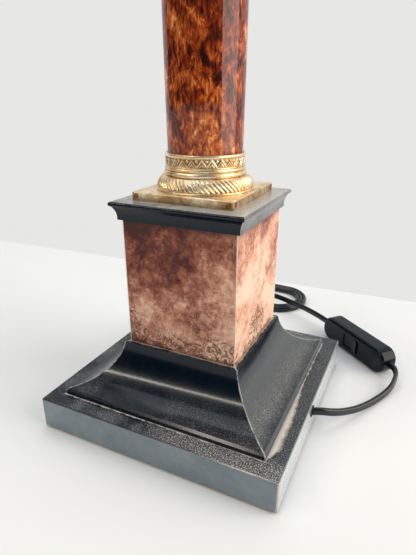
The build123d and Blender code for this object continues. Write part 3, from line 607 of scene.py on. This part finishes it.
def dusted_and_lit(f, at, speckle, paint):
    """The paint under its dust speckle, and lightened by painted light on the right-facing slope."""
    # painted light: the right-facing slope lightened toward grey
    right_light_veil = f.times(at.faces_right, f.span(f.facing(), 0.25, 0.6), 0.16)
    # one grey for the dust speckle and for the painted light
    dust = (0.50, 0.51, 0.50)
    return f.mix(f.most(speckle, right_light_veil), paint, dust)


def gathered_dirt(f, at, paint):
    """Pale dirt along the cove's lip, widest at its right, and round the pedestal's foot."""
    patch = f.times(
        f.span(at.along, -0.076, -0.066),
        f.span(at.along, -0.040, 0.015, 1, 0),
        f.span(at.across, COVE_HALF - 0.0008, COVE_HALF - 0.0002),
    )
    width = f.plus(0.0010, f.times(patch, 0.0050))
    from_lip = f.plus(f.minus(at.reach, COVE_HALF), at.nudge)
    line = f.span(f.math("DIVIDE", from_lip, width), 0.45, 1.0, 0.85, 0)
    lip_dirt = (0.74, 0.70, 0.62)
    lined = f.mix(f.times(line, at.faces_up, at.on_plinth), paint, lip_dirt)
    from_panel = f.plus(f.minus(at.reach, PANEL_HALF), at.nudge)
    ledge = f.times(
        f.span(from_panel, 0.0006, 0.0013, 0.75, 0),
        f.span(at.height, COVE_TOP - 0.0010, COVE_TOP - 0.0002),
        at.below_panel,
    )
    ledge_dirt = (0.62, 0.56, 0.47)
    return f.mix(ledge, lined, ledge_dirt)


def cap_dust_and_sheen(f, at, paint):
    """Dust on the cap moulding's top, and a painted reflection lightening its right-facing side."""
    cap_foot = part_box("cap_moulding")[0][2]
    on_cap = f.span(at.height, cap_foot - 0.0004, cap_foot)
    level = f.span(f.facing(), 0.8, 0.97)
    film = f.span(f.plus(f.noise(32, 5, 0.6), at.rightward), 0.34, 0.56, 0.12, 0.62)
    top_dust = (0.66, 0.64, 0.58)
    topped = f.mix(f.times(on_cap, level, film), paint, top_dust)
    # painted reflection: the cap's right-facing side lightened toward grey
    cap_side_sheen = f.times(on_cap, at.faces_right, f.span(at.drift, 0.35, 0.6, 0.12, 0.34))
    cap_side_sheen_grey = (0.60, 0.59, 0.56)
    return f.mix(cap_side_sheen, topped, cap_side_sheen_grey)


def ridge_highlight_and_worn_edges(f, at, paint):
    """A painted highlight, pale and broken, along the cove's corner ridges, and paint worn to the
    wood on the plinth's edges.
    """
    # painted highlight along the cove's corner ridges
    ridge = f.times(
        f.span(f.minus(at.reach, at.beside), 0.0004, 0.0008, 1, 0),
        at.over_plinth,
        at.below_panel,
        f.span(at.ragged, 0.38, 0.55, 0.05, 0.65),
    )
    # pale tone of the painted ridge highlight
    rubbed = (0.66, 0.65, 0.61)
    highlighted = f.mix(ridge, paint, rubbed)
    over_floor = f.plus(at.height, f.span(at.ragged, 0.35, 0.7, -0.0010, 0.0005))
    floor_rub = f.span(over_floor, 0.0009, 0.0016, 1, 0)
    past_arris = f.minus(f.plus(at.reach, at.beside), 2 * PLINTH_HALF - 0.0013)
    past_arris = f.plus(past_arris, f.span(at.ragged, 0.4, 0.7, -0.0006, 0.0004))
    worn = f.times(f.most(floor_rub, f.span(past_arris, 0, 0.0004)), 0.7)
    wood = (0.42, 0.33, 0.23)
    return f.mix(worn, highlighted, wood)


def black_lacquer():
    """Satin black paint on wood: bluish, with dust where it faces up, bare at its worn edges, with
    painted light on its right-facing sides and a painted highlight on the cove's corner ridges.
    """
    f = Finish("black_lacquer", Specular_IOR_Level=0.12, Coat_Roughness=0.12)
    at = PaintedPlace(f)
    speckle = dust_speckle(f, at)
    dusted_and_lit_paint = dusted_and_lit(f, at, speckle, lacquer_paint(f, at))
    lined = cap_dust_and_sheen(f, at, gathered_dirt(f, at, dusted_and_lit_paint))
    f.colour(ridge_highlight_and_worn_edges(f, at, lined))
    smear = f.span(f.noise(60, 6, 0.7), 0.3, 0.75, 0.18, 0.36)
    f.roughness(f.plus(smear, f.times(speckle, 0.5)))
    f.bump(f.noise(900, 3, 0.6), 0.05, 0.0002)
    return f.material


def panel_mottle(f, height, blotches):
    """Red-brown to peach clouds, darker toward the panels' top and left, with painted light a touch
    lighter on the right-facing panel.
    """
    tone = f.plus(
        f.times(f.noise(21, 4, 0.6, 0.25), 0.48),
        f.times(blotches, 0.38),
        f.times(f.noise(480, 4, 0.7), 0.14),
        # painted light: the right-facing panel a touch lighter
        f.span(f.facing("X"), 0.5, 0.9, 0.0, 0.018),
        f.span(height, COVE_TOP, PANEL_TOP, 0.105, -0.060),
        f.span(f.axis("X"), -PANEL_HALF, PANEL_HALF, -0.040, 0.045),
    )
    return f.ramp(
        tone,
        (0.41, (0.075, 0.014, 0.009)),
        (0.46, (0.210, 0.052, 0.029)),
        (0.51, (0.400, 0.142, 0.084)),
        (0.56, (0.660, 0.325, 0.210)),
        (0.62, (0.880, 0.560, 0.410)),
    )


def panel_ink(f, height, base):
    """Thin dark squiggles that gather near the panels' foot."""
    worms = f.noise(125, 3, 0.6, 2.2)
    thread = f.span(f.math("ABSOLUTE", f.minus(worms, 0.5)), 0.018, 0.075, 1, 0)
    low = f.span(height, COVE_TOP, COVE_TOP + 0.034, 0.20, -0.02)
    where = f.span(f.plus(f.noise(34, 4, 0.6), low), 0.52, 0.62)
    ink = (0.070, 0.016, 0.010)
    return f.mix(f.times(thread, where, 0.85), base, ink)


def panel_tortoiseshell():
    """Cloudy mottle on the pedestal's flat sides, with painted shade darkening them at top and foot,
    pale at the mitres.
    """
    f = Finish("tortoiseshell_panel", Specular_IOR_Level=0.05, Coat_Weight=0.42, Coat_Roughness=0.10)
    height = f.axis("Z")
    reach, beside = from_middle(f)
    blotches = f.noise(110, 8, 0.74, 0.35)
    inked = panel_ink(f, height, panel_mottle(f, height, blotches))
    wavy = f.plus(height, f.span(blotches, 0.3, 0.7, -0.004, 0.004))
    # painted shade along the panels' top and foot, where they meet the cap and the cove
    near_top = f.span(wavy, PANEL_TOP - 0.006, PANEL_TOP)
    near_foot = f.span(wavy, COVE_TOP + 0.004, COVE_TOP)
    edge_shade_brown = (0.075, 0.018, 0.010)
    edge_shaded = f.mix(f.times(f.most(near_top, near_foot), 0.7), inked, edge_shade_brown)
    mitre = f.span(f.minus(reach, beside), 0.0004, 0.0008, 0.85, 0)
    mitre_line = (0.86, 0.66, 0.54)
    f.colour(f.mix(mitre, edge_shaded, mitre_line))
    f.bump(f.noise(420, 3, 0.6), 0.04, 0.0002)
    return f.material


def column_tortoiseshell():
    """Dark red-brown column with short upright orange flecks under a deep gloss."""
    f = Finish("tortoiseshell_column", Specular_IOR_Level=0.05, Coat_Weight=0.7, Coat_Roughness=0.04)
    tone = f.plus(
        f.times(f.noise(48, 4, 0.6, 0.8, at=f.stretched((1, 1, 0.8))), 0.42),
        f.times(f.noise(230, 5, 0.68, 1.2, at=f.stretched((1, 1, 0.42))), 0.42),
        f.times(f.noise(620, 4, 0.6, 0.6, at=f.stretched((1, 1, 0.30))), 0.16),
    )
    flecked = f.ramp(
        tone,
        (0.41, (0.022, 0.0026, 0.0010)),
        (0.46, (0.100, 0.0115, 0.0020)),
        (0.51, (0.270, 0.0400, 0.0060)),
        (0.555, (0.540, 0.1250, 0.0220)),
        (0.61, (0.840, 0.3900, 0.1400)),
    )
    f.colour(flecked)
    f.bump(f.noise(120, 2, 0.5), 0.02, 0.0002)
    return f.material


def collar_ground(f, height):
    """Dark ground between the chased lines of the foot's collar."""
    low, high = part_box("foot_zigzag_collar")
    radius = f.length(f.axis("X"), f.axis("Y"))
    return f.times(
        f.span(radius, high[0] - 0.00058, high[0] - 0.00038, 0.80, 0.0),
        f.span(height, low[2] + 0.0006, low[2] + 0.0010),
        f.span(height, high[2] - 0.0026, high[2] - 0.0022, 1, 0),
    )


def plate_edges(f, height):
    """Brown patina on the square plate's upright edges, with painted shade darkening the small
    recess near each corner.
    """
    low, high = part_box("foot_plate")
    reach, beside = from_middle(f)
    over_foot = f.span(height, low[2] - 0.001, low[2])
    below_arris = f.span(height, high[2] - 0.0009, high[2] - 0.0005, 1, 0)
    cloudy = f.span(f.noise(75, 6, 0.7), 0.38, 0.60, 0.85, 0.15)
    patina = f.times(below_arris, over_foot, cloudy)
    aside = f.minus(beside, high[0] - EDGE_PIN_INSET)
    upward = f.minus(height, (low[2] + high[2]) / 2)
    # painted shade: a dark disc in the small recess near each corner
    pin_recess_shade = f.times(
        over_foot,
        f.span(height, high[2], high[2] + 0.001, 1, 0),
        f.span(f.minus(reach, high[0]), -0.0022, -0.0016),
        f.span(f.length(aside, upward), 0.0015, 0.0021, 0.9, 0),
    )
    return f.most(patina, pin_recess_shade)


def aged_brass():
    """Brass with a worn polish: pale where rubbed, brown in the hollows and on upright edges."""
    f = Finish("aged_brass", Metallic=0.86)
    height = f.axis("Z")
    smears = f.noise(46, 7, 0.66, 0.8)
    polish = f.ramp(
        smears,
        (0.34, (0.52, 0.330, 0.155)),
        (0.47, (0.82, 0.600, 0.345)),
        (0.62, (0.97, 0.830, 0.600)),
    )
    pointiness = f.nodes.new("ShaderNodeNewGeometry").outputs["Pointiness"]
    hollows = f.span(pointiness, 0.40, 0.495, 0.85, 0.0)
    # brown for patina in the hollows and on the plate's edges, and for painted shade in its corner
    # recesses
    dirt = f.most(hollows, collar_ground(f, height), plate_edges(f, height))
    brown = (0.270, 0.125, 0.032)
    specks = f.span(f.noise(520, 4, 0.65), 0.60, 0.70, 0.0, 0.6)
    speck_brown = (0.24, 0.13, 0.06)
    f.colour(f.mix(specks, f.mix(dirt, polish, brown), speck_brown))
    f.roughness(f.span(smears, 0.3, 0.7, 0.40, 0.24))
    f.bump(f.noise(700, 4, 0.6), 0.08, 0.0002)
    return f.material


def felt_finish():
    f = Finish("felt", Roughness=0.95, Sheen_Weight=0.4, Sheen_Roughness=0.6)
    fibre = f.noise(900, 6, 0.75, 2.0)
    f.colour(f.ramp(fibre, (0.3, (0.20, 0.145, 0.09)), (0.7, (0.42, 0.33, 0.22))))
    f.bump(fibre, 0.6, 0.0006)
    return f.material


def bare_wood():
    f = Finish("raw_wood", Roughness=0.7)
    rings = f.noise(14, 6, 0.6, 1.2, at=f.stretched((6, 6, 0.6)))
    f.colour(f.ramp(rings, (0.3, (0.44, 0.29, 0.16)), (0.7, (0.68, 0.50, 0.31))))
    f.bump(rings, 0.25, 0.0004)
    return f.material


def plain_finish(name, low, high, rough, metallic=0.0, scale=220, bump=0.08, gloss=0.5):
    """One substance with a fine variation of tone and gloss."""
    f = Finish(name, Metallic=metallic, Specular_IOR_Level=gloss)
    grain = f.noise(scale, 5, 0.6)
    f.colour(f.ramp(grain, (0.3, low), (0.7, high)))
    f.roughness(f.span(grain, 0.3, 0.7, *rough))
    f.bump(f.noise(scale * 3.5, 3, 0.6), bump, 0.0002)
    return f.material


PLAIN_FINISHES = {
    "zinc_steel": {
        "low": (0.42, 0.43, 0.43),
        "high": (0.66, 0.67, 0.66),
        "rough": (0.28, 0.45),
        "metallic": 1.0,
    },
    "cast_iron": {
        "low": (0.05, 0.05, 0.05),
        "high": (0.12, 0.115, 0.11),
        "rough": (0.55, 0.8),
        "metallic": 0.6,
        "scale": 300,
        "bump": 0.5,
    },
    "holder_plastic": {
        "low": (0.010, 0.010, 0.011),
        "high": (0.022, 0.022, 0.024),
        "rough": (0.16, 0.28),
    },
    "porcelain": {
        "low": (0.74, 0.73, 0.69),
        "high": (0.84, 0.83, 0.80),
        "rough": (0.14, 0.24),
        "scale": 90,
    },
    "contact_brass": {
        "low": (0.66, 0.48, 0.20),
        "high": (0.86, 0.68, 0.36),
        "rough": (0.22, 0.36),
        "metallic": 1.0,
    },
    "cord_sheath": {
        "low": (0.003, 0.006, 0.008),
        "high": (0.008, 0.012, 0.016),
        "rough": (0.16, 0.26),
        "scale": 500,
        "gloss": 0.4,
    },
    "core_insulation": {
        "low": (0.20, 0.085, 0.04),
        "high": (0.32, 0.15, 0.07),
        "rough": (0.4, 0.5),
    },
    "soft_rubber": {
        "low": (0.010, 0.010, 0.010),
        "high": (0.020, 0.020, 0.020),
        "rough": (0.5, 0.7),
    },
    "clamp_plastic": {
        "low": (0.62, 0.60, 0.55),
        "high": (0.76, 0.74, 0.69),
        "rough": (0.4, 0.55),
    },
    "switch_plastic": {
        "low": (0.001, 0.005, 0.009),
        "high": (0.003, 0.010, 0.016),
        "rough": (0.12, 0.20),
        "scale": 600,
        "gloss": 0.22,
    },
    "plug_plastic": {
        "low": (0.009, 0.009, 0.010),
        "high": (0.020, 0.020, 0.021),
        "rough": (0.34, 0.48),
        "scale": 400,
    },
    "nickel_pins": {
        "low": (0.58, 0.56, 0.50),
        "high": (0.78, 0.76, 0.70),
        "rough": (0.16, 0.3),
        "metallic": 1.0,
    },
}

FINISHES = {
    "black_lacquer": black_lacquer(),
    "tortoiseshell_panel": panel_tortoiseshell(),
    "tortoiseshell_column": column_tortoiseshell(),
    "aged_brass": aged_brass(),
    "felt": felt_finish(),
    "raw_wood": bare_wood(),
}
for slot, values in PLAIN_FINISHES.items():
    FINISHES[slot] = plain_finish(slot, **values)


def dress(piece, slot):
    piece.data.materials.clear()
    piece.data.materials.append(FINISHES[slot])


for subpart in frame["record"]["subparts"]:
    dress(frame["nodes"][subpart["node"]], subpart["material_slot"])
for cord_piece in (lamp_cord, coil_cord):
    dress(cord_piece, "cord_sheath")
for ring in (rope_ring_piece, foot_collar, head_collar):
    dress(ring, "aged_brass")

# ----- Setting -------------------------------------------------------------------------

ROOM_BRIGHT = (0.80, 0.80, 0.79)
ROOM_DARK = (0.020, 0.034, 0.048)
TO_WALL = (0.242, 0.970, 0.0)
FLOOR_HALF = 6
FLOOR_DROP = 0.0002
TABLE_BACK = 0.2585  # from the lamp's middle to the table's back edge
TABLE_SLANT = 0.054
FADE_START = 0.7
FADE_END = 1.7


def floor_material():
    """A white table top that takes the room's bright tone behind its back edge and far out."""
    f = Finish("floor", Roughness=0.5, Specular_IOR_Level=0.0)
    white = f.ramp(f.noise(3, 3, 0.5), (0.3, (0.80, 0.82, 0.83)), (0.7, (0.83, 0.845, 0.855)))
    back = f.plus(f.axis("Y"), f.times(f.axis("X"), -TABLE_SLANT))
    behind = f.span(back, TABLE_BACK, TABLE_BACK + 0.0015)
    away = f.nodes.new("ShaderNodeVectorMath")
    away.operation = "LENGTH"
    f.links.new(f.place, away.inputs[0])
    beyond = f.most(behind, f.span(away.outputs["Value"], FADE_START, FADE_END))
    f.colour(f.mix(beyond, white, (0.0, 0.0, 0.0)))
    f.shader.inputs["Emission Color"].default_value = (*ROOM_BRIGHT, 1)
    f.join(beyond, f.shader.inputs["Emission Strength"])
    return f.material


def square_floor():
    """One flat square, a hair below the lamp's felt."""
    half = FLOOR_HALF
    mesh = bpy.data.meshes.new("floor")
    corners = [(-half, -half, 0), (half, -half, 0), (half, half, 0), (-half, half, 0)]
    mesh.from_pydata(corners, [], [(0, 1, 2, 3)])
    mesh.materials.append(floor_material())
    piece = new_object("floor", mesh)
    piece.location = (0, 0, -FLOOR_DROP)
    return piece


def surround():
    """A room that lights the lamp brightly from behind it and dimly from before it."""
    world = bpy.data.worlds.new("surround")
    world.use_nodes = True
    nodes = world.node_tree.nodes
    links = world.node_tree.links
    toward_wall = nodes.new("ShaderNodeVectorMath")
    toward_wall.operation = "DOT_PRODUCT"
    toward_wall.inputs[1].default_value = TO_WALL
    links.new(nodes.new("ShaderNodeTexCoord").outputs["Generated"], toward_wall.inputs[0])
    shifted = nodes.new("ShaderNodeMath")
    shifted.inputs[1].default_value = 0.10
    links.new(toward_wall.outputs["Value"], shifted.inputs[0])
    tone = nodes.new("ShaderNodeValToRGB")
    tone.color_ramp.elements[0].position = 0.0
    tone.color_ramp.elements[0].color = (*ROOM_DARK, 1)
    tone.color_ramp.elements[1].position = 0.06
    tone.color_ramp.elements[1].color = (*ROOM_BRIGHT, 1)
    links.new(shifted.outputs[0], tone.inputs["Fac"])
    # Seen directly, the room is bright all round.
    backdrop = nodes.new("ShaderNodeMix")
    backdrop.data_type = "RGBA"
    backdrop.inputs[7].default_value = (*ROOM_BRIGHT, 1)
    links.new(nodes.new("ShaderNodeLightPath").outputs["Is Camera Ray"], backdrop.inputs[0])
    links.new(tone.outputs["Color"], backdrop.inputs[6])
    links.new(backdrop.outputs[2], nodes["Background"].inputs["Color"])
    return world


def area_light(name, place, target, size, power, colour):
    data = bpy.data.lights.new(name, "AREA")
    data.shape = "RECTANGLE"
    data.size, data.size_y = size
    data.energy = power
    data.color = colour
    light = new_object(name, data)
    light.location = place
    light.rotation_euler = (Vector(target) - Vector(place)).to_track_quat("-Z", "Y").to_euler()


floor = square_floor()
bpy.context.scene.world = surround()
bpy.context.scene.view_settings.view_transform = "Standard"

area_light(
    "window",
    place=(-1.15, -1.45, 1.75),
    target=(0, 0, 0.05),
    size=(2.3, 0.14),
    power=23,
    colour=(1.0, 0.93, 0.82),
)
area_light(
    "overhead",
    place=(-0.5, 0.2, 2.4),
    target=(0, 0, 0),
    size=(2.0, 1.4),
    power=15,
    colour=(0.95, 0.985, 1.0),
)
area_light(
    "right",
    place=(1.485, 0.209, 0.9),
    target=(0, 0, 0.9),
    size=(1.46, 2.0),
    power=32,
    colour=(1.0, 0.93, 0.85),
)
